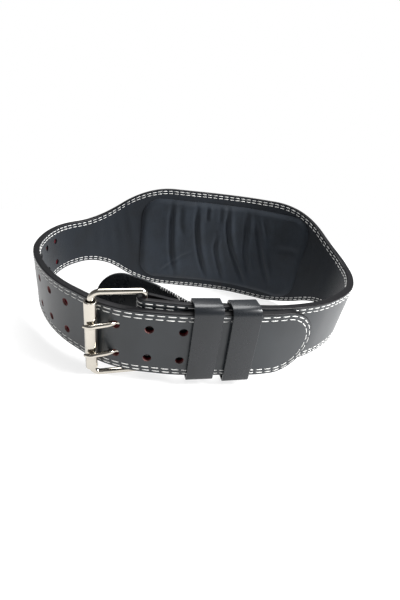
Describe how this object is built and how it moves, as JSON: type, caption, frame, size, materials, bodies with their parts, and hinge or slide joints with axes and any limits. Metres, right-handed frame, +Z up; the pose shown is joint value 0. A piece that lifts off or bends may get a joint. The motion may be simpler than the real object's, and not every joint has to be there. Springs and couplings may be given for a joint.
{
  "type": "weightlifting belt",
  "caption": "Padded leather lifting belt, buckled into a loop: wide lumbar back, tapered punched strap, roller buckle with twin prongs, keeper loops and a shield flap.",
  "frame": {"origin": "middle of the bounding box, on the surface that the belt stands on", "axes": "+Z up from the surface, +X along the buckled front from the buckle towards the free end, +Y from the buckled front to the wide lumbar back"},
  "size_m": [0.3576, 0.2626, 0.1515],
  "materials": {
    "outer_leather": "smooth semi-gloss black",
    "core_fibre": "matt dark red fibre",
    "lining_leather": "matt navy-black suede-like leather",
    "pad_leather": "soft matt navy-black leather, wrinkled",
    "flap_leather": "smooth black",
    "keeper_leather": "smooth semi-gloss black",
    "nickel": "polished nickel plate"
  },
  "bodies": {
    "root": {"belt_outer_leather": "outer_leather", "belt_core": "core_fibre", "belt_lining": "lining_leather", "lumbar_pad": "pad_leather", "shield_flap": "flap_leather", "keeper_1": "keeper_leather", "keeper_2": "keeper_leather", "buckle_frame": "nickel", "buckle_roller": "nickel", "prong_upper": "nickel", "prong_lower": "nickel"}
  },
  "joints": []
}
